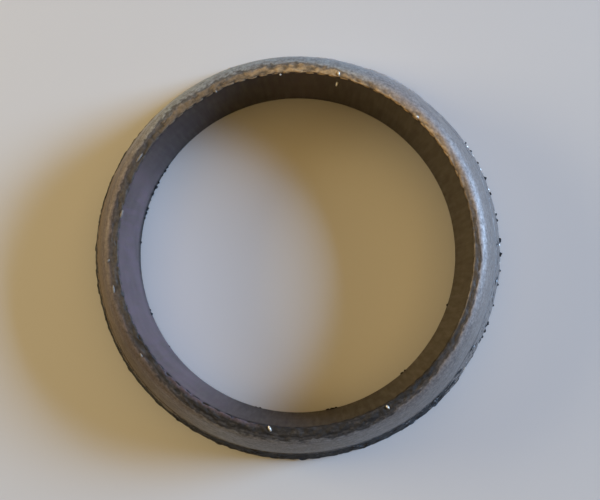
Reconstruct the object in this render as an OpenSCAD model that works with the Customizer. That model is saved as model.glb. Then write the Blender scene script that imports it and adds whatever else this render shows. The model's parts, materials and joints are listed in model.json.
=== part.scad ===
// Exhaust sealing ring for the ball joint between two exhaust pipes.
// Knitted steel wire and graphite are pressed together into one solid ring. Its straight bore
// slips over the pipe, its flat base sits on the pipe's collar, and the mating pipe's flare
// turns on its part-spherical seat. Below the seat a tapered skirt carries it down to the base.
// The bore's axis is Z, the base lies at Z = 0 and the narrow rim is on top, in millimetres.

/* [Bore] */
// Diameter of the bore that slips over the pipe
bore_d = 50.5; // [40:0.5:80]
// Leg of the chamfer that leads the pipe into the bore at the base
bore_lead = 0.3; // [0.1:0.05:0.5]

/* [Ring] */
// Height from the base to the rim
ring_h = 15; // [12:0.5:20]
// Wall between the bore and the widest point of the skirt
base_wall = 7.25; // [6:0.25:10]
// Height of the skirt, up to the foot of the seat
skirt_h = 7.3; // [4:0.1:9]
// Radius on the outer edge of the base
base_round = 0.5; // [0.2:0.1:1]

/* [Seat] */
// Wall between the bore and the foot of the seat
seat_wall = 4.95; // [3.5:0.05:5.5]
// Step by which use has bedded the seat in below the top of the skirt
seat_step = 0.15; // [0.05:0.05:0.4]
// Width of the rim, from the bore to where the seat would meet it
rim_w = 2; // [1.7:0.05:2.5]
// Radius on the shoulder between the rim and the seat
rim_round = 1.8; // [0.8:0.1:2.2]
// Leg of the chamfer on the rim's inner edge
rim_lead = 0.12; // [0.05:0.01:0.15]

/* [Wear] */
// Angle where the chipped stretch of the rim's inner edge starts
chip_from = 195; // [0:1:360]
// Angle covered by the chipped stretch
chip_sweep = 60; // [20:1:120]
// Number of chips along that stretch
chip_count = 13; // [4:1:20]
// Radius of one chip's hollow
chip_r = 0.8; // [0.5:0.05:1.2]
// Mean depth of a chip
chip_depth = 0.34; // [0.25:0.01:0.45]
// How far a chip reaches out across the rim from the bore
chip_reach = 0.45; // [0.3:0.05:0.5]
// Angles of the nicks in the outer edge of the base
nick_angles = [52, 285]; // [0:1:360]
// Radius of one nick's hollow
nick_r = 1.6; // [1:0.1:3]
// Depth of a nick, measured inwards from the edge
nick_depth = 0.4; // [0.1:0.05:0.6]

/* [Hidden] */
$fn = 180;

bore_r = bore_d / 2;
base_r = bore_r + base_wall;
seat_foot_r = bore_r + seat_wall;
skirt_top_r = seat_foot_r + seat_step;
rim_r = bore_r + rim_w;

// The seat is a zone of the sphere, centred on the axis, that passes through its foot and the rim
seat_centre_z = (rim_r ^ 2 + ring_h ^ 2 - seat_foot_r ^ 2 - skirt_h ^ 2) / (2 * (ring_h - skirt_h));
seat_r = norm([rim_r, ring_h - seat_centre_z]);

// Centre of the shoulder's arc, set so that the arc just crosses the rim's plane and the sphere
shoulder_lap = 0.005;
shoulder_depth = rim_round - shoulder_lap;
shoulder_rise = ring_h - shoulder_depth - seat_centre_z;
shoulder_x = sqrt((seat_r - shoulder_depth) ^ 2 - shoulder_rise ^ 2);
shoulder = [shoulder_x, seat_centre_z + shoulder_rise];
shoulder_tilt = atan2(shoulder_rise, shoulder_x);

// Centre of the base's edge arc, and the direction in which the skirt's straight flank touches it
edge = [base_r - base_round, base_round];
flank = [skirt_top_r, skirt_h] - edge;
flank_tilt = atan2(flank.y, flank.x) - acos(base_round / norm(flank));

// How far one chip's depth strays from the mean, and the step of the angle that varies it
chip_stray = 0.3;
chip_turn = 137;

function polar(radius, angle) = radius * [cos(angle), sin(angle)];

// Half section of the skirt: tapered flank, rounded base edge and the chamfer at the bore
module skirt_section() {
    polygon([
        [bore_r, bore_lead],
        [bore_r + bore_lead, 0],
        [edge.x, 0],
        edge + polar(base_round, flank_tilt),
        [skirt_top_r, skirt_h],
        [bore_r, skirt_h]
    ]);
    translate(edge) circle(base_round);
}

// Half section of the seat: the sphere's arc from its foot up to the shoulder, and the rim
module seat_section() {
    difference() {
        intersection() {
            translate([0, seat_centre_z]) circle(seat_r);
            polygon([
                [bore_r, skirt_h],
                [base_r, skirt_h],
                [base_r, ring_h],
                [bore_r + rim_lead, ring_h],
                [bore_r, ring_h - rim_lead]
            ]);
        }
        shoulder_waste();
    }
}

// Corner of the half section that lies outside the shoulder's arc
module shoulder_waste() {
    reach = 3 * rim_round;
    difference() {
        polygon([
            shoulder,
            shoulder + polar(reach, shoulder_tilt),
            shoulder + [reach, reach],
            shoulder + [0, reach]
        ]);
        translate(shoulder) circle(rim_round);
    }
}

// Hollows where bits of the pressed wire have broken out of the rim's inner edge
module rim_chips() {
    for (i = [0 : chip_count - 1]) {
        rise = chip_r - chip_depth * (1 + chip_stray * sin(i * chip_turn));
        rotate(chip_from + chip_sweep * i / (chip_count - 1))
            translate([bore_r + chip_reach - sqrt(chip_r ^ 2 - rise ^ 2), 0, ring_h + rise])
                sphere(chip_r);
    }
}

// Hollows knocked into the outer edge of the base
module edge_nicks() {
    for (angle = nick_angles)
        rotate(angle)
            translate([base_r - nick_depth + nick_r, 0, base_round])
                sphere(nick_r);
}

// The pressed ring, one piece of wire mesh and graphite
module sealing_ring() {
    color("dimgray")
        difference() {
            rotate_extrude() {
                skirt_section();
                seat_section();
            }
            rim_chips();
            edge_nicks();
        }
}

sealing_ring();
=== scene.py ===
"""Dresses the exhaust sealing ring as a used ring of pressed wire mesh and graphite."""

import json
import math

import bmesh
import bpy
from bpy.props import FloatProperty, FloatVectorProperty, IntProperty, PointerProperty
from mathutils import Matrix, Vector, noise


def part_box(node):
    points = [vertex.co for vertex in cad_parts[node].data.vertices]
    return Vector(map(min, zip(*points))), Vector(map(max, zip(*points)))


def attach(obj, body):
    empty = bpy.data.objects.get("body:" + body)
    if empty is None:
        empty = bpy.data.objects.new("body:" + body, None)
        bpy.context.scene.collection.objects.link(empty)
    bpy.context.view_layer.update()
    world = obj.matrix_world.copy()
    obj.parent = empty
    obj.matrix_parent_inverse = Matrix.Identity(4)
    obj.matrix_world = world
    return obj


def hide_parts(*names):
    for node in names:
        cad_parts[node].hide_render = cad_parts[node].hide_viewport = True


bl_info = {
    "name": "Exhaust Sealing Ring",
    "version": (1, 0, 0),
    "blender": (4, 5, 0),
    "location": "View3D > Sidebar > Ring",
    "description": "Models a used sealing ring of pressed wire mesh and graphite",
    "category": "Add Mesh",
}

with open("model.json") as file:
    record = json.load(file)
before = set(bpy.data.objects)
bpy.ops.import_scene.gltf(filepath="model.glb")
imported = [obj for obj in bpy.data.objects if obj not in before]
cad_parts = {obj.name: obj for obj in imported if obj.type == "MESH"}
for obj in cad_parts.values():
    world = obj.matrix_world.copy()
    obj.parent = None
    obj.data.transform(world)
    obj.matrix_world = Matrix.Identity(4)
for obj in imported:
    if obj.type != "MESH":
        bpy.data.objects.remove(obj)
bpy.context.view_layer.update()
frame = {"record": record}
RING_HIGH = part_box("sealing_ring")[1]
MOUNTS = {mount["name"]: mount for mount in frame["record"]["mounts"]}

MM = 0.001
TOUCH = 0.01 * MM
MERGE = 0.001 * MM
UP = Vector((0, 0, 1))
BORE_RADIUS = MOUNTS["bore"]["dims"]["r_mm"] * MM
PICTURE_WIDTH = 600

# Sockets of the nodes used most: a Map Range takes a value from low and high to start and end, and a colour
# Mix goes by a share from a first colour to a second
VALUE, LOW, HIGH, START, END = range(5)
SHARE, FIRST, SECOND = 0, 6, 7

# Marks of pressing and use, and of painted light and shade, round the ring, where right is +X and far is +Y:
# direction in degrees from right to far, the cosines of the angle from it at which the mark sets in and is
# full, and its strength, which for a wall is the added thickness in millimetres
MARKS = {
    # Rim: straw partly heat tint and partly a painted reflection of the warm lamp; near black partly sooty
    # and partly painted shade
    "straw rim, heat tint and reflection": (64, 0.5, 0.97, 1.0),
    "faint straw rim, heat tint and reflection": (116, 0.88, 0.98, 0.3),
    "black rim, sooty and shaded": (272, 0.15, 0.72, 0.95),
    # A darker line along the crust's outer edge on the far and near sides
    "far verge": (125, 0.2, 0.8, 0.85),
    "near verge": (292, -0.15, 0.4, 1.0),
    # Pale lip on the right: partly bare metal, partly a painted highlight
    "pale lip, bare and highlit": (358, 0.86, 0.97, 0.7),
    "bared chips": (240, 0.93, 0.98, 0.7),
    "narrow rim": (5, 0.72, 0.95, 1.0),
    "wide far crust": (110, 0.6, 0.95, 0.35),
    "narrow right crust": (40, 0.7, 0.97, -0.5),
    "wide near crust": (268, 0.62, 0.95, 1.0),
    "wide left crust": (185, 0.6, 0.95, 0.2),
    # Cooler seat on the far and near sides: painted cool light
    "cool lit far seat": (105, 0.6, 0.97, 1.0),
    "cool lit near seat": (268, 0.8, 0.97, 0.4),
    # Brown on the seat's left: partly a film, partly painted warm light
    "brown seat, stain and warm light": (190, 0.5, 0.96, 1.0),
    # Seat darker on its right, left and near sides: painted shade
    "shaded right seat": (15, 0.72, 0.95, 0.6),
    "shaded left seat": (230, 0.85, 0.97, 1.0),
    "shaded near seat": (285, 0.3, 0.92, 1.0),
    "polished seat": (350, 0.86, 0.98, 1.0),
    # Bore brown on its right side: partly a baked film, partly painted warm light
    "baked and warm-lit bore": (10, -0.4, 0.7, 1.0),
    # Bore darker on its far and near sides: painted shade
    "shaded far bore": (122, 0.8, 0.98, 0.8),
    "shaded near bore": (276, 0.75, 0.97, 0.8),
    # Bore darker towards its foot on the left
    "darker bore foot": (145, 0.4, 0.9, 1.0),
    "wiped right skirt": (20, 0.45, 0.9, 1.0),
    "wiped far skirt": (110, 0.2, 0.7, 1.0),
    "wiped left skirt": (150, -0.3, 0.3, 1.0),
    "chafed skirt": (337, 0.87, 0.99, 1.0),
    "raised loops": (10, 0.7, 0.92, 1.0),
    "scuffed wire": (5, 0.3, 0.9, 1.0),
    "wiped wire": (80, 0.3, 0.75, 1.0),
    "filmed wire ends": (165, 0.35, 0.7, 0.9),
    "thin far wall": (95, 0.2, 1.0, -0.42),
    "thin chafed wall": (337, 0.955, 0.985, -0.25),
    "thick left wall": (240, 0.7, 0.95, 0.15),
    "thick far wall": (60, 0.985, 0.992, 0.14),
    "thin right wall": (6, 0.95, 0.985, -0.1),
}
WALLS = [mark for mark in MARKS if mark.endswith("wall")]

# Patterns of the pressed surface: size of a grain across the section and along the ring in millimetres, the
# pattern's strength, and a number that sets it apart from the others
PATTERNS = {
    "rim lump": (0.6, 1.0, 1.0, 3),
    "fine rim lump": (0.35, 0.455, 0.6, 11),
    "crust edge": (1.3, 1.95, 1.0, 7),
    "fine crust edge": (0.45, 0.54, 1.0, 9),
    "bore wave": (2.5, 5.0, 1.0, 23),
    "base grain": (1.2, 1.2, 1.0, 31),
    "skirt grain": (0.8, 1.04, 1.0, 41),
    "fine skirt grain": (0.4, 0.4, 0.5, 43),
    "seat wave": (3.0, 9.0, 1.0, 53),
    "fleck": (0.7, 1.12, 1.0, 61),
    "fine fleck": (0.35, 0.455, 0.5, 67),
    "chafed end": (1.4, 1.68, 0.05, 71),
}

# Broken wire ends: turn in degrees, distance out from the bore, height and length in millimetres, and the
# slant in degrees from lying along the ring to lying across it
WIRE_ENDS = (
    (262, 0.4, 15.0, 0.8, 55), (300, 0.6, 15.0, 0.6, 75), (76, -0.14, 12.3, 0.9, 90),
    (47, 0.3, 14.92, 0.5, 0), (76, 0.55, 14.95, 0.6, 70), (95, -0.05, 14.4, 0.3, 90),
    (117, 0.02, 14.82, 0.35, 60), (150, 0.6, 14.86, 1.5, 4), (169, 0.05, 14.84, 1.2, 3),
    (193, 1.25, 14.86, 1.3, 6), (184, 1.45, 14.88, 0.6, 50), (215, 1.3, 14.86, 0.7, 10),
    (32, 6.9, 1.2, 0.7, 20), (29, 6.8, 1.5, 0.6, 40), (24.5, 6.9, 1.2, 0.6, 10), (18, 6.9, 1.3, 0.8, 30),
    (11.5, 6.8, 1.5, 0.6, 60), (2, 6.9, 1.2, 0.7, 20), (357, 6.8, 1.6, 0.6, 50), (333, 6.85, 1.2, 0.7, 15),
    (325, 6.95, 1.2, 0.9, 30),
)

# Crumbs of graphite at the outer edge and at the foot of the bore: turn in degrees and size in millimetres
EDGE_CRUMBS = (
    (33.2, 0.26), (30.5, 0.2), (26.5, 0.28), (21.7, 0.4), (17.2, 0.34), (11, 0.3), (9.4, 0.28), (3.4, 0.42),
    (359.6, 0.44), (355, 0.24), (351, 0.3), (345, 0.22), (339.5, 0.4), (337.4, 0.34), (335.6, 0.3),
)
FOOT_CRUMBS = (
    (146.5, 0.24), (148, 0.32), (150, 0.22), (153, 0.26), (155, 0.46), (157.5, 0.36), (160, 0.2),
    (163.5, 0.44), (165, 0.38), (167, 0.26), (176, 0.28), (201, 0.24), (202.5, 0.36), (216, 0.2),
    (255, 0.24), (256.5, 0.3), (281, 0.34), (282.5, 0.4), (284, 0.32), (311, 0.34), (312.5, 0.26),
    (341, 0.3),
)


def linear(code):
    """Linear RGBA of an sRGB hex colour."""
    channels = [int(code[i:i + 2], 16) / 255 for i in (0, 2, 4)]
    return [c / 12.92 if c <= 0.04045 else ((c + 0.055) / 1.055) ** 2.4 for c in channels] + [1.0]


def length(name, description, millimetres):
    """A length property, given in millimetres and kept in metres."""
    return FloatProperty(name=name, description=description, default=millimetres * MM, min=0.0,
                         unit="LENGTH", precision=5)


def angle(name, description, degrees):
    """An angle property, given in degrees."""
    return FloatProperty(name=name, description=description, default=math.radians(degrees), subtype="ANGLE")


def power(name, description, watts):
    """A light's power."""
    return FloatProperty(name=name, description=description, default=watts, min=0.0, subtype="POWER")


def colour(name, description, code):
    """A colour property, given as an sRGB hex value."""
    return FloatVectorProperty(name=name, description=description, default=linear(code), size=4,
                               min=0.0, max=1.0, subtype="COLOR")


class RingSizes(bpy.types.PropertyGroup):
    """Sizes of the pressed ring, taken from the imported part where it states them"""

    bore_radius: length("Bore radius", "Radius of the bore", BORE_RADIUS / MM)
    base_radius: length("Base radius", "Widest radius of the skirt", RING_HIGH.x / MM)
    height: length("Height", "From the base to the rim", RING_HIGH.z / MM)
    skirt_height: length("Skirt height", "From the base to the foot of the seat", 7.3)
    seat_step: length("Seat step", "How far the seat is bedded in below the skirt", 0.15)
    rim_width: length("Rim width", "From the bore to where the seat would meet the rim", 2.0)
    rim_round: length("Rim round", "Radius on the shoulder between rim and seat", 1.8)
    rim_lead: length("Rim lead", "Chamfer on the rim's inner edge", 0.12)
    base_round: length("Base round", "Radius on the outer edge of the base", 0.5)
    bore_lead: length("Bore lead", "Chamfer of the bore at the base", 0.3)
    columns: IntProperty(name="Columns", description="Faces round the ring", default=760, min=90)


class WearSizes(bpy.types.PropertyGroup):
    """Sizes of the roughness, chips and nicks that pressing and use have left"""

    crust_width: length("Crust width", "Width of the crumbled rim on most sides", 0.9)
    crust_spread: length("Crust spread", "How much wider the crust is on the sooty side", 0.8)
    crust_stray: length("Crust stray", "How far the crust's ragged edge strays", 0.35)
    rim_lump: length("Rim lump", "Height of the lumps of the crumbled rim", 0.11)
    rim_narrowing: length("Rim narrowing", "How much narrower the rim was pressed on its right", 0.15)
    skirt_grain: length("Skirt grain", "Depth of the grain on the skirt", 0.07)
    seat_wave: length("Seat wave", "Depth of the shallow waves in the seat", 0.02)
    bore_wave: length("Bore wave", "Depth of the shallow waves in the bore", 0.03)
    chip_radius: length("Chip radius", "Radius of one chip in the rim's inner edge", 0.8)
    chip_depth: length("Chip depth", "Mean depth of a chip", 0.34)
    chip_reach: length("Chip reach", "How far a chip reaches across the rim", 0.45)
    chip_count: IntProperty(name="Chips", description="Chips in the rim", default=13, min=2)
    nick_radius: length("Nick radius", "Radius of one nick in the base edge", 1.6)
    nick_depth: length("Nick depth", "Depth of a nick in the base edge", 0.4)


class WireSizes(bpy.types.PropertyGroup):
    """Sizes of the knitted wire that shows at the surface"""

    radius: length("Wire radius", "Half of the wire's thickness", 0.14)
    rows: IntProperty(name="Rows", description="Knitted rows on the skirt", default=4, min=2)
    wale: length("Wale", "Width of one knitted loop on the skirt", 2.3)
    course: length("Course", "Height of one knitted row on the skirt", 1.4)
    rim_wale: length("Rim wale", "Width of one crushed loop on the rim", 1.7)
    rim_course: length("Rim course", "Width of the crushed rows across the rim", 0.5)
    end_radius: length("End radius", "Half of the thickness of the broken wire ends", 0.19)
    sink: length("Sink", "How deep the wires lie under the surface", 0.19)


class RingColours(bpy.types.PropertyGroup):
    """Colours of the ring's finishes and of its painted light and shade, the floor and the lights"""

    seat_pale: colour("Pale seat", "Burnished seat where it is rubbed bright", "AEA49C")
    # Cooler seat colour: painted cool light on the far and near sides
    seat_cool_light: colour("Cool seat", "Burnished seat on the far side, free of any brown film", "AEBAC0")
    seat_dark: colour("Dark seat", "Burnished seat where graphite has stayed", "746C69")
    # Brown on the seat's left is partly a film and partly painted warm light; the violet next to the rim is
    # partly a film and partly a painted cool reflection
    seat_stain_and_warm_light: colour("Seat stain", "Brown film on the seat's left", "604A30")
    seat_violet_film_and_sheen: colour("Violet stain", "Darker, violet film on the seat's left next to the rim", "594D4C")
    # Near black, for sooty hollows and for painted shade in the bore and on the rim's near side
    soot_and_shade: colour("Soot", "Soot in the hollows of the rim", "1E1C1B")
    # Straw stands partly for heat tint and partly for a painted reflection of the warm lamp on the rim
    straw: colour("Straw", "Heat tint on the crests of the rim", "B4966C")
    umber: colour("Umber", "Baked brown of the rim away from the heat", "4E463E")
    graphite: colour("Graphite", "Packed graphite of the skirt and base", "1E1D1F")
    bore: colour("Bore", "Satin grey of the bore", "78656B")
    bore_dark: colour("Dark bore", "Stains in the bore", "5C4F50")
    # Brown on the bore's right side: partly a baked film, partly painted warm light
    bore_baked_and_warm_light: colour("Baked bore", "Brown film baked on the hot side of the bore", "473D31")
    wire: colour("Wire", "Steel of the wire where it is scuffed", "C9C9CC")
    bare: colour("Bare wire", "Steel of the broken wire ends", "E6E0D6")
    dull: colour("Dull wire", "Wire ends under a film on the ring's left", "756D66")
    floor: colour("Floor", "Pale floor", "CFCDCB")
    key: colour("Key light", "Cool daylight from the right", "A8D0FF")
    side: colour("Side light", "Pale light of the room from the left", "FFECBE")
    lamp: colour("Lamp", "Warm lamplight from above", "FFD381")


class StageSettings(bpy.types.PropertyGroup):
    """Places and strengths of the camera and the lights"""

    eye: FloatVectorProperty(name="Eye", description="Where the camera stands", size=3,
                             default=(2.57 * MM, -7.25 * MM, 125.64 * MM), subtype="TRANSLATION")
    aim: FloatVectorProperty(name="Aim", description="Where the camera looks", size=3,
                             default=(0.41 * MM, 0.56 * MM, 0.0), subtype="TRANSLATION")
    focal: FloatProperty(name="Focal length", description="In pixels of the picture", default=782.1)
    key_turn: angle("Key turn", "Direction of the window light", 15)
    key_rise: angle("Key rise", "Height of the window light", 29)
    key_distance: length("Key distance", "From the ring to the window light", 1200.0)
    key_size: length("Key size", "Side of the square window light", 400.0)
    key_power: power("Key power", "Power of the window light", 20.2)
    side_turn: angle("Side turn", "Direction of the room light", 168)
    side_rise: angle("Side rise", "Height of the room light", 26)
    side_distance: length("Side distance", "From the ring to the room light", 350.0)
    side_size: length("Side size", "Side of the square room light", 160.0)
    side_power: power("Side power", "Power of the room light", 0.58)
    lamp_turn: angle("Lamp turn", "Direction of the warm lamp", 80)
    lamp_rise: angle("Lamp rise", "Height of the warm lamp", 82)
    lamp_distance: length("Lamp distance", "From the ring to the warm lamp", 280.0)
    lamp_size: length("Lamp size", "Side of the square warm lamp", 300.0)
    lamp_power: power("Lamp power", "Power of the warm lamp", 0.36)
    ambient: FloatProperty(name="Ambient", description="Strength of the even light", default=0.03)


def fill_sockets(tree, node, inputs):
    """Fills a node's input sockets, each with a value or a link."""
    for key, value in inputs.items():
        if isinstance(value, bpy.types.NodeSocket):
            tree.links.new(value, node.inputs[key])
        else:
            node.inputs[key].default_value = value


def add_node(tree, kind, inputs=None, output=None, **settings):
    """Adds a node with its settings and links, and gives its named output or the first one in use."""
    node = tree.nodes.new(kind)
    for key, value in settings.items():
        setattr(node, key, value)
    fill_sockets(tree, node, inputs or {})
    return node.outputs[output] if output else next(socket for socket in node.outputs if socket.enabled)


def new_material(name):
    """An empty material with its node tree and its shader."""
    material = bpy.data.materials.new(name)
    material.use_nodes = True
    return material, material.node_tree, material.node_tree.nodes["Principled BSDF"]


def ring_coordinates(tree, place):
    """Radius of a point, and its distance along the section, which grows outwards and downwards."""
    flat = add_node(tree, "ShaderNodeVectorMath", {0: place, 1: (1, 1, 0)}, operation="MULTIPLY")
    radius = add_node(tree, "ShaderNodeVectorMath", {0: flat}, operation="LENGTH")
    height = add_node(tree, "ShaderNodeSeparateXYZ", {0: place}, "Z")
    along = add_node(tree, "ShaderNodeMath", {0: radius, 1: height}, operation="SUBTRACT")
    return radius, along


def facing(tree, place, mark):
    """Mask that rises from 0 to its strength round the ring towards one of the marks."""
    turn, sets_in, full, strength = MARKS[mark]
    direction = (math.cos(math.radians(turn)), math.sin(math.radians(turn)), 0)
    flat = add_node(tree, "ShaderNodeVectorMath", {0: place, 1: (1, 1, 0)}, operation="MULTIPLY")
    unit = add_node(tree, "ShaderNodeVectorMath", {0: flat}, operation="NORMALIZE")
    cosine = add_node(tree, "ShaderNodeVectorMath", {0: unit, 1: direction}, operation="DOT_PRODUCT")
    return add_node(tree, "ShaderNodeMapRange", {VALUE: cosine, LOW: sets_in, HIGH: full, END: strength},
                    interpolation_type="SMOOTHSTEP")


def rim_tint(tree, place, colours):
    """Colours round the rim: straw toward the far right, partly heat tint and partly a painted reflection of
    the warm lamp; near black on the near side, partly sooty and partly painted shade; umber between.
    """
    # Straw share toward the far right: partly heat tint, partly a painted reflection of the warm lamp
    heat = add_node(tree, "ShaderNodeMath", {0: facing(tree, place, "straw rim, heat tint and reflection"),
                                             1: facing(tree, place, "faint straw rim, heat tint and reflection")}, operation="MAXIMUM")
    warm = add_node(tree, "ShaderNodeMix", {SHARE: heat, FIRST: colours.umber, SECOND: colours.straw},
                    data_type="RGBA")
    # Near black toward the near side: partly sooty, partly painted shade
    return add_node(tree, "ShaderNodeMix", {SHARE: facing(tree, place, "black rim, sooty and shaded"), FIRST: warm,
                                            SECOND: colours.soot_and_shade}, data_type="RGBA")


def graphite_grain(tree, place, colours):
    """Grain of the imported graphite, and its colour, which varies with the grain."""
    # Real grains are finer than the picture shows, so the pressed lumps of them are drawn
    grain_size = 0.7 * MM
    grain = add_node(tree, "ShaderNodeTexNoise", {"Vector": place, "Scale": 1 / grain_size, "Detail": 4.0})
    tone = add_node(tree, "ShaderNodeMapRange", {VALUE: grain, LOW: 0.3, HIGH: 0.7, START: 0.55, END: 1.5})
    black = add_node(tree, "ShaderNodeVectorMath", {0: colours.graphite[:3], 1: tone}, operation="MULTIPLY")
    return grain, black


def rubbed_streaks(tree, place, along):
    """Streaks that rubbing left on the seat, longer round the ring than across it."""
    streak_size = 1.1 * MM
    streak_stretch = 2.2
    across = add_node(tree, "ShaderNodeMath", {0: along, 1: streak_stretch}, operation="MULTIPLY")
    return add_node(tree, "ShaderNodeTexNoise", {"Vector": place, "W": across, "Scale": 1 / streak_size,
                                                 "Detail": 5.0, "Roughness": 0.65}, noise_dimensions="4D")


def seat_colour(tree, place, radius, rubbed, colours):
    """Grey of the seat, pale where it is rubbed, cooler on the far and near sides as painted cool light,
    browner on the left partly from a film and partly from painted warm light, and darker on the near, left
    and right sides as painted shade.
    """
    film_inside, film_outside = BORE_RADIUS + 1.6 * MM, BORE_RADIUS + 3.6 * MM
    # Painted cool light on the far and near sides of the seat
    cool_light = add_node(tree, "ShaderNodeMath", {0: facing(tree, place, "cool lit far seat"),
                                              1: facing(tree, place, "cool lit near seat")}, operation="MAXIMUM")
    pale = add_node(tree, "ShaderNodeMix", {SHARE: cool_light, FIRST: colours.seat_pale,
                                            SECOND: colours.seat_cool_light}, data_type="RGBA")
    grey = add_node(tree, "ShaderNodeMix", {SHARE: rubbed, FIRST: colours.seat_dark, SECOND: pale},
                    data_type="RGBA")

    # Brown on the left, violet next to the rim: partly a real film, partly painted warm light and a painted
    # cool reflection
    outward = add_node(tree, "ShaderNodeMapRange", {VALUE: radius, LOW: film_inside, HIGH: film_outside})
    film = add_node(tree, "ShaderNodeMix", {SHARE: outward, FIRST: colours.seat_violet_film_and_sheen,
                                            SECOND: colours.seat_stain_and_warm_light}, data_type="RGBA")
    hold = add_node(tree, "ShaderNodeMapRange", {VALUE: rubbed, START: 0.9, END: 0.7})
    stain_and_warm_light = add_node(tree, "ShaderNodeMath", {0: facing(tree, place, "brown seat, stain and warm light"), 1: hold},
                       operation="MULTIPLY")
    filmed = add_node(tree, "ShaderNodeMix", {SHARE: stain_and_warm_light, FIRST: grey, SECOND: film}, data_type="RGBA")

    # Painted shade: the seat darker on its near side and, further out, on its right and left
    side_shade = add_node(tree, "ShaderNodeMath", {0: facing(tree, place, "shaded right seat"),
                                                1: facing(tree, place, "shaded left seat")}, operation="ADD")
    outer_shade = add_node(tree, "ShaderNodeMath", {0: side_shade, 1: outward}, operation="MULTIPLY")
    painted_shade = add_node(tree, "ShaderNodeMath", {0: facing(tree, place, "shaded near seat"), 1: outer_shade},
                   operation="MAXIMUM")
    gain = add_node(tree, "ShaderNodeMapRange", {VALUE: painted_shade, START: 1.0, END: 0.68})
    return add_node(tree, "ShaderNodeVectorMath", {0: filmed, 1: gain}, operation="MULTIPLY")


def crust_colour(tree, place, seat, streaks, crust, colours):
    """Crumbled rim over the seat: rim colours that are partly a painted reflection and painted shade, darker
    pits that are partly sooty and partly painted shade, a darker line along the crust's outer edge on the far
    and near sides, and dull flecks on the near side.
    """
    pit_tint = 0.3
    tint = rim_tint(tree, place, colours)
    # Hollows of the crust, and the chips, take a darker colour: partly sooty, partly painted shade
    crest = add_node(tree, "ShaderNodeAttribute", output="Fac", attribute_name="crest")
    pit = add_node(tree, "ShaderNodeMix", {SHARE: pit_tint, FIRST: colours.soot_and_shade, SECOND: tint},
                   data_type="RGBA")
    rim = add_node(tree, "ShaderNodeMix", {SHARE: crest, FIRST: pit, SECOND: tint}, data_type="RGBA")
    crusted = add_node(tree, "ShaderNodeMix", {SHARE: crust, FIRST: seat, SECOND: rim}, data_type="RGBA")

    # Darker line along the crust's outer edge, on the far and near sides
    outer = add_node(tree, "ShaderNodeMapRange", {VALUE: crust, LOW: 0.0, HIGH: 0.4},
                     interpolation_type="SMOOTHSTEP")
    inner = add_node(tree, "ShaderNodeMapRange", {VALUE: crust, LOW: 0.9, HIGH: 0.5, END: 0.7})
    verge = add_node(tree, "ShaderNodeMath", {0: outer, 1: inner}, operation="MULTIPLY")
    near = facing(tree, place, "near verge")
    sides = add_node(tree, "ShaderNodeMath", {0: facing(tree, place, "far verge"), 1: near}, operation="ADD")
    darkened = add_node(tree, "ShaderNodeMath", {0: verge, 1: sides}, operation="MULTIPLY")
    worn_and_shaded = add_node(tree, "ShaderNodeMix", {SHARE: darkened, FIRST: crusted, SECOND: colours.soot_and_shade},
                    data_type="RGBA")

    fleck = add_node(tree, "ShaderNodeMapRange", {VALUE: streaks, LOW: 0.5, HIGH: 0.66, END: 0.25})
    near_fleck = add_node(tree, "ShaderNodeMath", {0: fleck, 1: near}, operation="MULTIPLY")
    rim_fleck = add_node(tree, "ShaderNodeMath", {0: near_fleck, 1: crust}, operation="MULTIPLY")
    return add_node(tree, "ShaderNodeMix", {SHARE: rim_fleck, FIRST: worn_and_shaded, SECOND: colours.dull},
                    data_type="RGBA")


def bared_and_highlit_edges(tree, place, radius, worn_and_shaded, colours):
    """Rim's inner edge where the crust has come off: a pale lip on the right, partly bare metal and partly a
    painted highlight, and grey chips.
    """
    lip_width, chip_width = 0.3 * MM, 0.7 * MM
    # The lip is partly bare metal and partly a painted highlight where the edge catches the window light
    for mark, width, bare in (("pale lip, bare and highlit", lip_width, colours.seat_pale),
                              ("bared chips", chip_width, colours.bore)):
        edge = add_node(tree, "ShaderNodeMapRange", {VALUE: radius, LOW: BORE_RADIUS + width,
                                                     HIGH: BORE_RADIUS})
        bared = add_node(tree, "ShaderNodeMath", {0: edge, 1: facing(tree, place, mark)},
                         operation="MULTIPLY")
        worn_and_shaded = add_node(tree, "ShaderNodeMix", {SHARE: bared, FIRST: worn_and_shaded, SECOND: bare}, data_type="RGBA")
    return worn_and_shaded


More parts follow.
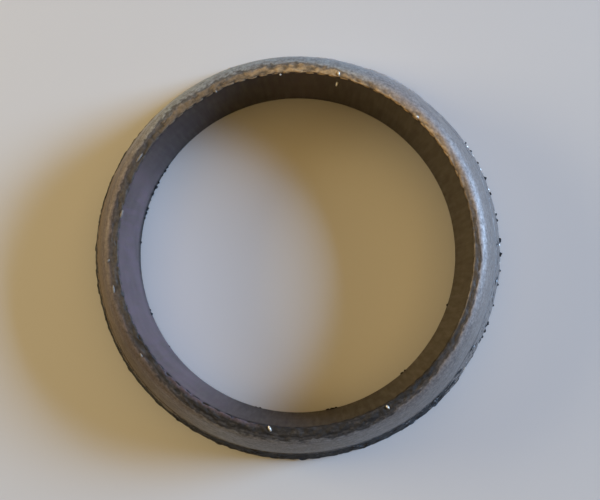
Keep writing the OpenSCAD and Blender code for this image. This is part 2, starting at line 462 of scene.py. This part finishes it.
def burnished_seat(colours):
    """Steel mesh and graphite rubbed to a satin grey, with a crumbled rim.

    The eye gets a soft, mottled sheen on the seat, cooler on the far and near sides as painted cool light,
    browner on the left partly from a film and partly from painted warm light, darker on the near, left and
    right sides as painted shade; and on the rim a straw-coloured crust with dark pits toward the far right,
    black-brown elsewhere, its straw partly heat tint and partly a painted reflection of the warm lamp, its
    black and its pits partly sooty and partly painted shade.
    Below the seat, black graphite covers it with a ragged edge, but for where it was wiped off.
    """
    material, tree, shader = new_material("burnished_graphite_mesh")
    place = add_node(tree, "ShaderNodeTexCoord", output="Object")
    radius, along = ring_coordinates(tree, place)
    crust = add_node(tree, "ShaderNodeAttribute", output="Fac", attribute_name="crust")
    streaks = rubbed_streaks(tree, place, along)
    rubbed = add_node(tree, "ShaderNodeMapRange", {VALUE: streaks, LOW: 0.22, HIGH: 0.78})
    seat = seat_colour(tree, place, radius, rubbed, colours)
    worn_and_shaded = crust_colour(tree, place, seat, streaks, crust, colours)
    bared = bared_and_highlit_edges(tree, place, radius, worn_and_shaded, colours)
    grit_size = 0.35 * MM
    grit_depth = 0.15 * MM
    grit = add_node(tree, "ShaderNodeTexNoise", {"Vector": place, "Scale": 1 / grit_size, "Detail": 3.0,
                                                 "Roughness": 0.6})
    speckle = add_node(tree, "ShaderNodeMapRange", {VALUE: grit, LOW: 0.3, HIGH: 0.7, START: 0.7, END: 1.3})
    bright = add_node(tree, "ShaderNodeVectorMath", {0: bared, 1: speckle}, operation="MULTIPLY")
    unrubbed_rough = add_node(tree, "ShaderNodeMapRange", {VALUE: facing(tree, place, "polished seat"),
                                                           START: 0.66, END: 0.62})
    seat_rough = add_node(tree, "ShaderNodeMapRange", {VALUE: rubbed, START: unrubbed_rough, END: 0.44})
    bare_rough = add_node(tree, "ShaderNodeMapRange", {VALUE: crust, START: seat_rough, END: 0.65})
    bare_metal = add_node(tree, "ShaderNodeMapRange", {VALUE: crust, START: 0.35, END: 0.15})

    ragged_share = 0.8
    grain, black = graphite_grain(tree, place, colours)
    packed = add_node(tree, "ShaderNodeAttribute", output="Fac", attribute_name="packed")
    ragged = add_node(tree, "ShaderNodeMath", {0: grain, 1: ragged_share, 2: packed},
                      operation="MULTIPLY_ADD")
    cover = add_node(tree, "ShaderNodeMapRange", {VALUE: ragged, LOW: 0.75, HIGH: 1.05},
                     interpolation_type="SMOOTHSTEP")
    base = add_node(tree, "ShaderNodeMix", {SHARE: cover, FIRST: bright, SECOND: black}, data_type="RGBA")
    rough = add_node(tree, "ShaderNodeMapRange", {VALUE: cover, START: bare_rough, END: 0.9})
    metal = add_node(tree, "ShaderNodeMapRange", {VALUE: cover, START: bare_metal, END: 0.0})
    grit_strength = add_node(tree, "ShaderNodeMapRange", {VALUE: crust, START: 0.22, END: 0.4})
    bump = add_node(tree, "ShaderNodeBump", {"Height": grit, "Distance": grit_depth,
                                             "Strength": grit_strength})
    fill_sockets(tree, shader, {"Base Color": base, "Roughness": rough, "Metallic": metal, "Normal": bump})
    return material


def packed_graphite(colours):
    """Graphite pressed hard into the mesh: near black and matt, with a fine, oily grain."""
    material, tree, shader = new_material("packed_graphite")
    place = add_node(tree, "ShaderNodeTexCoord", output="Object")
    grain_depth = 0.2 * MM
    grain, black = graphite_grain(tree, place, colours)
    rough = add_node(tree, "ShaderNodeMapRange", {VALUE: grain, LOW: 0.3, HIGH: 0.7, START: 0.9, END: 0.65})
    bump = add_node(tree, "ShaderNodeBump", {"Height": grain, "Distance": grain_depth, "Strength": 0.5})
    fill_sockets(tree, shader, {"Base Color": black, "Roughness": rough, "Specular IOR Level": 0.3,
                                "Normal": bump})
    return material


def rubbed_bore(colours):
    """Bore wall polished by the pipe: satin dark grey with vertical rubs and stains, brown on its right
    partly from a baked film and partly from painted warm light, painted shade on its far and near sides, and
    darker towards its foot on the left.
    """
    material, tree, shader = new_material("rubbed_bore_wall")
    place = add_node(tree, "ShaderNodeTexCoord", output="Object")
    # Real rubs are finer than the picture shows, so they are drawn as coarse as they need to show
    rub_size = 0.8 * MM
    rub_depth = 0.05 * MM
    rub_squeeze = (1, 1, 0.12)
    stain_size = 5.0 * MM
    darkening_top, darkening_foot = 2.4 * MM, 0.9 * MM
    squeezed = add_node(tree, "ShaderNodeVectorMath", {0: place, 1: rub_squeeze}, operation="MULTIPLY")
    rubs = add_node(tree, "ShaderNodeTexNoise", {"Vector": squeezed, "Scale": 1 / rub_size, "Detail": 3.0})
    stains = add_node(tree, "ShaderNodeTexNoise", {"Vector": place, "Scale": 1 / stain_size, "Detail": 4.0})
    mottle = add_node(tree, "ShaderNodeMath", {0: rubs, 1: stains}, operation="ADD")
    tone = add_node(tree, "ShaderNodeMapRange", {VALUE: mottle, LOW: 0.75, HIGH: 1.25})
    grey = add_node(tree, "ShaderNodeMix", {SHARE: tone, FIRST: colours.bore_dark, SECOND: colours.bore},
                    data_type="RGBA")
    # Brown on the right side: partly a baked film, partly painted warm light
    film = add_node(tree, "ShaderNodeMix", {SHARE: facing(tree, place, "baked and warm-lit bore"), FIRST: grey,
                                            SECOND: colours.bore_baked_and_warm_light}, data_type="RGBA")
    # Painted shade on the bore's far and near walls
    shaded_walls = add_node(tree, "ShaderNodeMath", {0: facing(tree, place, "shaded far bore"),
                                              1: facing(tree, place, "shaded near bore")}, operation="ADD")
    # Bore darker towards its foot, on the left
    height = add_node(tree, "ShaderNodeSeparateXYZ", {0: place}, "Z")
    foot = add_node(tree, "ShaderNodeMapRange", {VALUE: height, LOW: darkening_top, HIGH: darkening_foot},
                    interpolation_type="SMOOTHSTEP")
    darker_foot = add_node(tree, "ShaderNodeMath", {0: foot, 1: facing(tree, place, "darker bore foot")},
                     operation="MULTIPLY")
    darkened = add_node(tree, "ShaderNodeMath", {0: shaded_walls, 1: darker_foot}, operation="MAXIMUM")
    base = add_node(tree, "ShaderNodeMix", {SHARE: darkened, FIRST: film, SECOND: colours.soot_and_shade},
                    data_type="RGBA")
    rough = add_node(tree, "ShaderNodeMapRange", {VALUE: rubs, LOW: 0.3, HIGH: 0.7, START: 0.4, END: 0.55})
    bump = add_node(tree, "ShaderNodeBump", {"Height": rubs, "Distance": rub_depth, "Strength": 0.3})
    fill_sockets(tree, shader, {"Base Color": base, "Roughness": rough, "Metallic": 0.4, "Normal": bump})
    return material


def sooty_wire(colours):
    """Drawn steel wire, sooty: nearly black, with bare steel where the right side was scuffed."""
    material, tree, shader = new_material("sooty_steel_wire")
    place = add_node(tree, "ShaderNodeTexCoord", output="Object")
    scuff_size = 1.1 * MM
    scuff = add_node(tree, "ShaderNodeTexNoise", {"Vector": place, "Scale": 1 / scuff_size, "Detail": 3.0})
    bare = add_node(tree, "ShaderNodeMapRange", {VALUE: scuff, LOW: 0.56, HIGH: 0.66})
    shown = add_node(tree, "ShaderNodeMapRange", {VALUE: facing(tree, place, "scuffed wire"), START: 0.15,
                                                  END: 1.0})
    scuffed = add_node(tree, "ShaderNodeMath", {0: bare, 1: shown}, operation="MULTIPLY")
    film = add_node(tree, "ShaderNodeMix", {SHARE: facing(tree, place, "wiped wire"), FIRST: colours.graphite,
                                            SECOND: colours.seat_pale}, data_type="RGBA")
    base = add_node(tree, "ShaderNodeMix", {SHARE: scuffed, FIRST: film, SECOND: colours.wire},
                    data_type="RGBA")
    rough = add_node(tree, "ShaderNodeMapRange", {VALUE: scuffed, START: 0.68, END: 0.3})
    fill_sockets(tree, shader, {"Base Color": base, "Roughness": rough, "Metallic": scuffed})
    return material


def tempered_wire(colours):
    """Crushed wire of the rim under a baked film: straw or black like the crust, so partly a painted
    reflection and painted shade too, a little shinier.
    """
    material, tree, shader = new_material("tempered_steel_wire")
    place = add_node(tree, "ShaderNodeTexCoord", output="Object")
    film_size = 0.6 * MM
    film = add_node(tree, "ShaderNodeTexNoise", {"Vector": place, "Scale": 1 / film_size, "Detail": 2.0})
    gain = add_node(tree, "ShaderNodeMapRange", {VALUE: film, LOW: 0.3, HIGH: 0.7, START: 0.7, END: 1.3})
    base = add_node(tree, "ShaderNodeVectorMath", {0: rim_tint(tree, place, colours), 1: gain},
                    operation="MULTIPLY")
    fill_sockets(tree, shader, {"Base Color": base, "Roughness": 0.6, "Metallic": 0.15})
    return material


def bright_wire(colours):
    """Freshly broken steel wire: bare and fairly smooth, so that it glints, but dull on the left."""
    material, tree, shader = new_material("bare_steel_wire")
    place = add_node(tree, "ShaderNodeTexCoord", output="Object")
    # Real draw marks are finer than the picture shows, so they are drawn as coarse as they need to show
    draw_size = 0.2 * MM
    film_rough = 0.4
    draw = add_node(tree, "ShaderNodeTexNoise", {"Vector": place, "Scale": 1 / draw_size, "Detail": 2.0})
    drawn = add_node(tree, "ShaderNodeMapRange", {VALUE: draw, START: 0.2, END: 0.45})
    film = facing(tree, place, "filmed wire ends")
    rough = add_node(tree, "ShaderNodeMath", {0: film, 1: film_rough, 2: drawn}, operation="MULTIPLY_ADD")
    base = add_node(tree, "ShaderNodeMix", {SHARE: film, FIRST: colours.bare, SECOND: colours.dull},
                    data_type="RGBA")
    fill_sockets(tree, shader, {"Base Color": base, "Roughness": rough, "Metallic": 0.4})
    return material


def pale_floor(colours):
    """Painted board: pale, plain and matt."""
    material, tree, shader = new_material("pale_matt_board")
    fill_sockets(tree, shader, {"Base Color": colours.floor, "Roughness": 0.9, "Specular IOR Level": 0.1})
    return material


def smoothstep(low, high, value):
    """0 below low, 1 above high and a smooth rise between; falls where low is above high."""
    share = min(max((value - low) / (high - low), 0.0), 1.0)
    return share * share * (3 - 2 * share)


def polar(radius, turn, height):
    """A point at a radius and a turn round the axis, at a height."""
    return Vector((radius * math.cos(turn), radius * math.sin(turn), height))


def marked(place, mark, stray=0.0):
    """How strong one of the marks is at a point, for an edge that may stray by a cosine."""
    turn, sets_in, full, strength = MARKS[mark]
    cosine = place.xy.normalized().dot(polar(1, math.radians(turn), 0).xy)
    return strength * smoothstep(sets_in, full, cosine + stray)


def ring_noise(place, pattern):
    """Noise in one of the patterns, to about its strength either way."""
    across, along, strength, apart = PATTERNS[pattern]
    flat = place.xy / (along * MM)
    section = (place.xy.length - place.z) / (across * MM)
    return strength * noise.noise(Vector((flat.x, flat.y, section + apart)))


class Section:
    """Half section of the ring in the XZ plane, with what its sizes give for its curves"""

    def __init__(self, sizes):
        self.seat_centre = Vector(MOUNTS["seat"]["pos_m"])
        self.seat_radius = math.hypot(sizes.bore_radius + sizes.rim_width, sizes.height - self.seat_centre.z)
        foot_rise = sizes.skirt_height - self.seat_centre.z
        foot_radius = math.sqrt(self.seat_radius ** 2 - foot_rise ** 2)
        self.seat_foot = Vector((foot_radius, 0, sizes.skirt_height))
        self.foot_tilt = math.atan2(foot_rise, foot_radius)
        self.skirt_top = self.seat_foot + Vector((sizes.seat_step, 0, 0))

        shoulder_height = sizes.height - sizes.rim_round
        shoulder_rise = shoulder_height - self.seat_centre.z
        shoulder_radius = math.sqrt((self.seat_radius - sizes.rim_round) ** 2 - shoulder_rise ** 2)
        self.shoulder = Vector((shoulder_radius, 0, shoulder_height))
        self.shoulder_tilt = math.atan2(shoulder_rise, shoulder_radius)

        self.edge = Vector((sizes.base_radius - sizes.base_round, 0, sizes.base_round))
        flank = self.skirt_top - self.edge
        self.flank_tilt = math.atan2(flank.z, flank.x) - math.acos(sizes.base_round / flank.length)
        self.flank_normal = Vector((math.cos(self.flank_tilt), 0, math.sin(self.flank_tilt)))
        self.flank_foot = self.edge + sizes.base_round * self.flank_normal


def draw_straight(bm, start, end, spacing):
    """Draws a straight stretch of the section from a vertex, in steps of about the spacing."""
    origin = start.co.copy()
    steps = max(round((end - origin).length / spacing), 1)
    for step in range(1, steps + 1):
        start = bmesh.ops.extrude_vert_indiv(bm, verts=[start])["verts"][0]
        start.co = origin.lerp(end, step / steps)
    return start


def draw_arc(bm, start, centre, sweep, spacing):
    """Draws a round stretch of the section by turning a vertex about a centre."""
    steps = max(round(sweep * (start.co - centre).length / spacing), 3)
    made = bmesh.ops.spin(bm, geom=[start], cent=centre, axis=(0, -1, 0), angle=sweep, steps=steps)
    return made["geom_last"][0]


def draw_section(bm, sizes):
    """Draws the closed half section: base, skirt, seat, shoulder, rim and bore."""
    section = Section(sizes)
    fine, medium, wide, coarse = 0.14 * MM, 0.3 * MM, 0.48 * MM, 0.7 * MM
    rim_edge = Vector((sizes.bore_radius + sizes.rim_lead, 0, sizes.height))
    bore_top = Vector((sizes.bore_radius, 0, sizes.height - sizes.rim_lead))
    bore_foot = Vector((sizes.bore_radius, 0, sizes.bore_lead))

    start = bm.verts.new((sizes.bore_radius + sizes.bore_lead, 0, 0))
    pen = draw_straight(bm, start, Vector((section.edge.x, 0, 0)), coarse)
    pen = draw_arc(bm, pen, section.edge, math.pi / 2 + section.flank_tilt, fine)
    pen = draw_straight(bm, pen, section.skirt_top, medium)
    pen = draw_straight(bm, pen, section.seat_foot, fine)
    pen = draw_arc(bm, pen, section.seat_centre, section.shoulder_tilt - section.foot_tilt, medium)
    pen = draw_arc(bm, pen, section.shoulder, math.pi / 2 - section.shoulder_tilt, fine)
    pen = draw_straight(bm, pen, rim_edge, fine)
    pen = draw_straight(bm, pen, bore_top, fine)
    pen = draw_straight(bm, pen, bore_foot, wide)
    draw_straight(bm, pen, start.co.copy(), fine)
    bmesh.ops.remove_doubles(bm, verts=bm.verts, dist=MERGE)


def turn_section(bm, columns):
    """Turns the section into the ring: an eighth by spinning, then doubled three times."""
    bmesh.ops.spin(bm, geom=bm.verts[:] + bm.edges[:], cent=(0, 0, 0), axis=(0, 0, 1),
                   angle=math.tau / 8, steps=round(columns / 8))
    for share in (8, 4, 2):
        copy = bmesh.ops.duplicate(bm, geom=bm.verts[:] + bm.edges[:] + bm.faces[:])["geom"]
        verts = [part for part in copy if isinstance(part, bmesh.types.BMVert)]
        bmesh.ops.rotate(bm, verts=verts, cent=(0, 0, 0), matrix=Matrix.Rotation(math.tau / share, 3, "Z"))
    bmesh.ops.remove_doubles(bm, verts=bm.verts, dist=MERGE)


def hollows(sizes, wear):
    """Centres and radii of the balls that leave the chips in the rim and the nicks in the base."""
    chip_from, chip_sweep = math.radians(195), math.radians(60)
    stray, stray_turn = 0.3, math.radians(137)
    nick_turns = (52, 285)
    for i in range(wear.chip_count):
        rise = wear.chip_radius - wear.chip_depth * (1 + stray * math.sin(i * stray_turn))
        reach = math.sqrt(wear.chip_radius ** 2 - rise ** 2)
        turn = chip_from + chip_sweep * i / (wear.chip_count - 1)
        yield polar(sizes.bore_radius + wear.chip_reach - reach, turn, sizes.height + rise), wear.chip_radius
    for turn in nick_turns:
        out = sizes.base_radius - wear.nick_depth + wear.nick_radius
        yield polar(out, math.radians(turn), sizes.base_round), wear.nick_radius


def crust_share(place, sizes, wear):
    """How far a point belongs to the crumbled crust of the rim, whose outer edge is ragged."""
    fade_out, fade_in = 0.45 * MM, 0.35 * MM
    out = place.xy.length - sizes.bore_radius
    depth = sizes.height - place.z
    width = wear.crust_width * (1 + marked(place, "wide far crust") + marked(place, "narrow right crust"))
    width += wear.crust_spread * (marked(place, "wide near crust") + marked(place, "wide left crust"))
    stray = wear.crust_stray * (ring_noise(place, "crust edge") + ring_noise(place, "fine crust edge"))
    share = smoothstep(width + fade_out, width - fade_in, out + stray)
    deepest, full = (0.8 * MM, 0.1 * MM) if out < TOUCH else (2.0 * MM, 1.2 * MM)
    return share * smoothstep(deepest, full, depth)


def graphite_cover(place, sizes):
    """How much graphite covers a point of the skirt: on most sides it was wiped off, but for some flecks."""
    top_gap, top_stray, fade = 0.3 * MM, 0.2 * MM, 0.3 * MM
    wiped_share, fleck_share, fleck_stray = 0.72, 0.4, 0.03
    fleck = ring_noise(place, "fleck") + ring_noise(place, "fine fleck")
    top = sizes.skirt_height - top_gap - top_stray * fleck
    upper_left = marked(place, "wiped left skirt") * smoothstep(3.0 * MM, 5.0 * MM, place.z)
    ragged = ring_noise(place, "chafed end") + fleck_stray * fleck
    wiped = max(marked(place, "wiped right skirt"), marked(place, "wiped far skirt"), upper_left,
                marked(place, "chafed skirt", ragged))
    left_over = 1 - wiped * (wiped_share + fleck_share * fleck)
    return smoothstep(top + fade, top - fade, place.z) * left_over


def grain_lift(place, crust, sizes, wear):
    """How far the grain or the waves of its zone lift a point: in the bore, base, skirt or seat."""
    if place.xy.length < sizes.bore_radius + TOUCH:
        return wear.bore_wave * ring_noise(place, "bore wave")
    if place.z < TOUCH:
        return -wear.skirt_grain * abs(ring_noise(place, "base grain"))
    if place.z < sizes.skirt_height + TOUCH:
        grain = ring_noise(place, "skirt grain") + ring_noise(place, "fine skirt grain")
        return wear.skirt_grain * (grain - 1)
    return wear.seat_wave * ring_noise(place, "seat wave") * (1 - crust)


def off_true(place, sizes, wear):
    """Where a point of the true wall lies on the ring as it was pressed."""
    radius = place.xy.length
    out = radius - sizes.bore_radius
    outer_wall = smoothstep(2.0 * MM, 5.0 * MM, out)
    outer_rim = smoothstep(0.5 * MM, 1.3 * MM, out) * smoothstep(5.0 * MM, 2.5 * MM, out)
    thicker = sum(marked(place, mark) for mark in WALLS) * MM
    change = thicker * outer_wall - wear.rim_narrowing * outer_rim * marked(place, "narrow rim")
    scale = 1 + change / radius
    return Vector((place.x * scale, place.y * scale, place.z))


def wear_ring(bm, sizes, wear):
    """Roughens and chips the turned ring, and notes its crumbled rim and its cover of graphite."""
    crust_layer = bm.verts.layers.float.new("crust")
    crest_layer = bm.verts.layers.float.new("crest")
    packed_layer = bm.verts.layers.float.new("packed")
    crumbled_away = 0.8
    pit_lump, crest_lump = -0.6, 0.3
    # Chips take the darker colour of the crust's hollows, partly sooty and partly painted shade
    chip_crest = 0.15
    balls = list(hollows(sizes, wear))
    bm.normal_update()
    for vert in bm.verts:
        place = vert.co.copy()
        crust = crust_share(place, sizes, wear)
        lump = ring_noise(place, "rim lump") + ring_noise(place, "fine rim lump")
        vert[crust_layer] = crust
        vert[crest_layer] = smoothstep(pit_lump, crest_lump, lump)
        vert[packed_layer] = graphite_cover(place, sizes)
        lift = crust * wear.rim_lump * (lump - crumbled_away) + grain_lift(place, crust, sizes, wear)
        vert.co += lift * vert.normal
        for centre, ball in balls:
            gap = vert.co - centre
            if gap.length < ball:
                vert.co = centre + ball * gap.normalized()
                vert[crest_layer] = min(vert[crest_layer], chip_crest)
        vert.co = off_true(vert.co, sizes, wear)


def finish_piece(obj):
    """Puts a piece into the scene and on the ring's one body."""
    bpy.context.collection.objects.link(obj)
    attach(obj, "root")
    return obj


def mesh_piece(name, bm, materials):
    """Makes a mesh object from a bmesh."""
    mesh = bpy.data.meshes.new(name)
    bm.to_mesh(mesh)
    bm.free()
    for material in materials:
        mesh.materials.append(material)
    return bpy.data.objects.new(name, mesh)


def wire_piece(name, paths, radius, material, closed):
    """Makes round wire along paths of points, with tapered ends where it isn't closed."""
    end_taper = 0.5
    curve = bpy.data.curves.new(name, "CURVE")
    curve.dimensions = "3D"
    curve.bevel_depth = radius
    curve.bevel_resolution = 1
    curve.use_fill_caps = not closed
    for path in paths:
        spline = curve.splines.new("POLY")
        spline.points.add(len(path) - 1)
        for point, place in zip(spline.points, path):
            point.co = (*place, 1.0)
        spline.use_cyclic_u = closed
        if not closed:
            spline.points[0].radius = spline.points[-1].radius = end_taper
    curve.materials.append(material)
    return bpy.data.objects.new(name, curve)


def knit_course(middle, across, normal, wale, sink, shift, proud=None):
    """One knitted row of loops round the ring.

    The row runs round through a point of the section; across is the vector from the row's middle
    to its edge and normal points out of the surface, under which the wire wanders at about the sink.
    """
    steps = 18
    stray_length, stray_share = 2.6 * MM, 0.25
    wander_length, wander = 1.7 * MM, 0.2 * MM
    ripple = 0.04 * MM
    loops = round(math.tau * middle.x / wale)
    bulge = 0.2 * math.tau / loops
    path = []
    for i in range(loops * steps):
        phase = math.tau * i / steps
        turn = (i / steps + shift) * math.tau / loops + bulge * math.sin(2 * phase)
        at = polar(middle.x, turn, middle.z)
        stray = stray_share * noise.noise(at / stray_length + Vector((0, 0, shift)))
        depth = ripple * math.cos(2 * phase) - sink
        depth += wander * noise.noise(at / wander_length + Vector((9, 0, math.sin(phase))))
        if proud:
            depth += proud(at)
        out = middle + (math.cos(phase) + stray) * across + depth * normal
        path.append(polar(out.x, turn, out.z))
    return path


def scuffed_rise(at):
    """How far the loops stand out of the skirt on its scuffed side, and how deep they lie between."""
    bead_size, bead_rise, bead_from, between = 0.8 * MM, 0.5 * MM, 0.15, 0.2 * MM
    bead = max(noise.noise(at / bead_size) - bead_from, 0.0)
    return marked(at, "raised loops") * (bead_rise * bead - between)


class RING_OT_pressed_body(bpy.types.Operator):
    """Model the pressed ring with its worn rim, rubbed seat and bore, and packed skirt"""

    bl_idname = "ring.pressed_body"
    bl_label = "Pressed Body"

    def execute(self, context):
        scene = context.scene
        sizes, colours = scene.ring_sizes, scene.ring_colours
        finishes = [burnished_seat(colours), packed_graphite(colours), rubbed_bore(colours)]
        packed, bore = 1, 2
        bm = bmesh.new()
        draw_section(bm, sizes)
        turn_section(bm, sizes.columns)
        bmesh.ops.recalc_face_normals(bm, faces=bm.faces)
        for face in bm.faces:
            middle = face.calc_center_median()
            in_lead = middle.xy.length < sizes.bore_radius + sizes.bore_lead and middle.z < sizes.bore_lead
            face.smooth = True
            if middle.xy.length < sizes.bore_radius + TOUCH:
                face.material_index = bore
            elif in_lead or middle.z < TOUCH:
                face.material_index = packed
        wear_ring(bm, sizes, scene.ring_wear)
        body = finish_piece(mesh_piece("ring_body", bm, finishes))
        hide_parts("sealing_ring")
        return {"FINISHED"}


class RING_OT_skirt_wires(bpy.types.Operator):
    """Knit the wire that shows through the graphite of the skirt"""

    bl_idname = "ring.skirt_wires"
    bl_label = "Skirt Wires"

    def execute(self, context):
        scene = context.scene
        sizes, wires = scene.ring_sizes, scene.ring_wires
        section = Section(sizes)
        flank = section.skirt_top - section.flank_foot
        loop_reach, row_shift, flank_share = 0.72, 0.37, 0.94
        margin = 1.15 * MM / flank.length
        spread = flank_share - 2 * margin
        across = loop_reach * wires.course * flank.normalized()
        paths = []
        for row in range(wires.rows):
            middle = section.flank_foot + (margin + spread * row / (wires.rows - 1)) * flank
            course = knit_course(middle, across, section.flank_normal, wires.wale, wires.sink,
                                 row_shift * row, scuffed_rise)
            paths.append([off_true(place, sizes, scene.ring_wear) for place in course])
        finish_piece(wire_piece("skirt_wires", paths, wires.radius, sooty_wire(scene.ring_colours), True))
        return {"FINISHED"}


class RING_OT_rim_wires(bpy.types.Operator):
    """Lay the crushed loops of wire that show in the crumbled rim"""

    bl_idname = "ring.rim_wires"
    bl_label = "Rim Wires"

    def execute(self, context):
        scene = context.scene
        sizes, wires = scene.ring_sizes, scene.ring_wires
        across = Vector((0.5 * wires.rim_course, 0, 0))
        sink = 1.8 * wires.sink
        row_shift = 0.4
        paths = []
        for row, out, widening in ((0, 0.35 * MM, 1.0), (1, 0.75 * MM, 1.2)):
            middle = Vector((sizes.bore_radius + out, 0, sizes.height))
            paths.append(knit_course(middle, across, UP, wires.rim_wale * widening, sink, row_shift * row))
        finish_piece(wire_piece("rim_wires", paths, wires.radius, tempered_wire(scene.ring_colours), True))
        return {"FINISHED"}


class RING_OT_wire_ends(bpy.types.Operator):
    """Add the broken wire ends that stand out of the rim, the bore and the outer edge"""

    bl_idname = "ring.wire_ends"
    bl_label = "Wire Ends"

    def execute(self, context):
        scene = context.scene
        sizes = scene.ring_sizes
        droop = 0.06 * MM
        paths = []
        for turn, out, height, long, slant in WIRE_ENDS:
            on_true_wall = polar(sizes.bore_radius + out * MM, math.radians(turn), height * MM)
            middle = off_true(on_true_wall, sizes, scene.ring_wear)
            outward = polar(1, math.radians(turn), 0)
            on_skirt = height * MM < sizes.skirt_height
            across, proud = (UP, outward) if on_skirt else (outward, UP)
            along = UP.cross(outward) * math.cos(math.radians(slant)) + across * math.sin(math.radians(slant))
            paths.append([middle + 0.5 * long * MM * k * along - droop * k * k * proud
                          for k in (-1, -0.5, 0, 0.5, 1)])
        finish_piece(wire_piece("wire_ends", paths, scene.ring_wires.end_radius,
                                bright_wire(scene.ring_colours), False))
        return {"FINISHED"}


class RING_OT_graphite_crumbs(bpy.types.Operator):
    """Stick crumbs of graphite to the foot of the bore and the outer edge"""

    bl_idname = "ring.graphite_crumbs"
    bl_label = "Graphite Crumbs"

    def execute(self, context):
        scene = context.scene
        sizes = scene.ring_sizes
        foot_bedding, foot_gap = 0.3, 0.3 * MM
        edge_bedding = 0.68
        lump_size, lump_mean, lump_rise = 0.3 * MM, 0.85, 0.5
        crumbs = []
        for turn, size in FOOT_CRUMBS:
            radius = size * MM
            out = sizes.bore_radius + foot_bedding * radius
            crumbs.append((polar(out, math.radians(turn), foot_gap + radius), radius))
        for turn, size in EDGE_CRUMBS:
            radius = size * MM
            out = sizes.base_radius - edge_bedding * radius
            on_true_wall = polar(out, math.radians(turn), sizes.base_round + radius)
            crumbs.append((off_true(on_true_wall, sizes, scene.ring_wear), radius))
        bm = bmesh.new()
        for middle, radius in crumbs:
            made = bmesh.ops.create_icosphere(bm, subdivisions=3, radius=radius,
                                              matrix=Matrix.Translation(middle))
            for vert in made["verts"]:
                away = vert.co - middle
                vert.co = middle + away * (lump_mean + lump_rise * noise.noise(vert.co / lump_size))
                vert.co.z = max(vert.co.z, 0.0)
        bmesh.ops.recalc_face_normals(bm, faces=bm.faces)
        finish_piece(mesh_piece("graphite_crumbs", bm, [packed_graphite(scene.ring_colours)]))
        return {"FINISHED"}


class RING_OT_stage(bpy.types.Operator):
    """Set the floor, the camera and the three soft lights"""

    bl_idname = "ring.stage"
    bl_label = "Stage"

    def execute(self, context):
        scene = context.scene
        stage, colours = scene.ring_stage, scene.ring_colours
        floor_half, floor_drop = 2.0, 0.02 * MM
        bm = bmesh.new()
        bmesh.ops.create_grid(bm, x_segments=1, y_segments=1, size=floor_half,
                              matrix=Matrix.Translation((0, 0, -floor_drop)))
        floor = mesh_piece("floor", bm, [pale_floor(colours)])
        bpy.context.collection.objects.link(floor)

        camera = bpy.data.objects.new("camera", bpy.data.cameras.new("camera"))
        camera.data.lens = stage.focal * camera.data.sensor_width / PICTURE_WIDTH
        camera.data.clip_start = 1 * MM
        ahead = (Vector(stage.aim) - Vector(stage.eye)).normalized()
        right = ahead.cross(Vector((0, 1, 0))).normalized()
        axes = Matrix((right, right.cross(ahead), -ahead)).transposed()
        camera.matrix_world = Matrix.Translation(stage.eye) @ axes.to_4x4()
        scene.collection.objects.link(camera)
        scene.camera = camera

        for name in ("key", "side", "lamp"):
            light = bpy.data.lights.new(name, "AREA")
            light.energy = getattr(stage, name + "_power")
            light.color = getattr(colours, name)[:3]
            light.size = getattr(stage, name + "_size")
            lamp = bpy.data.objects.new(name, light)
            rise = getattr(stage, name + "_rise")
            away = getattr(stage, name + "_distance")
            place = away * polar(math.cos(rise), getattr(stage, name + "_turn"), math.sin(rise))
            lamp.matrix_world = Matrix.Translation(place) @ place.to_track_quat("Z", "Y").to_matrix().to_4x4()
            lamp.visible_camera = False
            scene.collection.objects.link(lamp)

        scene.world = bpy.data.worlds.new("even_light")
        scene.world.use_nodes = True
        background = scene.world.node_tree.nodes["Background"]
        fill_sockets(scene.world.node_tree, background, {"Color": (1, 1, 1, 1), "Strength": stage.ambient})
        scene.view_settings.view_transform = "Standard"
        return {"FINISHED"}


class RING_PT_ring(bpy.types.Panel):
    """Sizes, colours and pieces of the sealing ring"""

    bl_idname = "RING_PT_ring"
    bl_label = "Sealing Ring"
    bl_space_type = "VIEW_3D"
    bl_region_type = "UI"
    bl_category = "Ring"

    def draw(self, context):
        for operator in OPERATORS:
            self.layout.operator(operator.bl_idname)
        for group in GROUPS:
            box = self.layout.box()
            box.label(text=group.replace("_", " ").title())
            settings = getattr(context.scene, group)
            for key in settings.__annotations__:
                box.prop(settings, key)


GROUPS = {
    "ring_sizes": RingSizes,
    "ring_wear": WearSizes,
    "ring_wires": WireSizes,
    "ring_colours": RingColours,
    "ring_stage": StageSettings,
}
OPERATORS = [RING_OT_pressed_body, RING_OT_skirt_wires, RING_OT_rim_wires, RING_OT_wire_ends,
             RING_OT_graphite_crumbs, RING_OT_stage]


def register():
    for cls in [*GROUPS.values(), *OPERATORS, RING_PT_ring]:
        bpy.utils.register_class(cls)
    for name, group in GROUPS.items():
        setattr(bpy.types.Scene, name, PointerProperty(type=group))


def unregister():
    for name in GROUPS:
        delattr(bpy.types.Scene, name)
    for cls in reversed([*GROUPS.values(), *OPERATORS, RING_PT_ring]):
        bpy.utils.unregister_class(cls)


def main():
    register()
    bpy.ops.ring.pressed_body()
    bpy.ops.ring.skirt_wires()
    bpy.ops.ring.rim_wires()
    bpy.ops.ring.wire_ends()
    bpy.ops.ring.graphite_crumbs()
    bpy.ops.ring.stage()


if __name__ == "__main__":
    main()
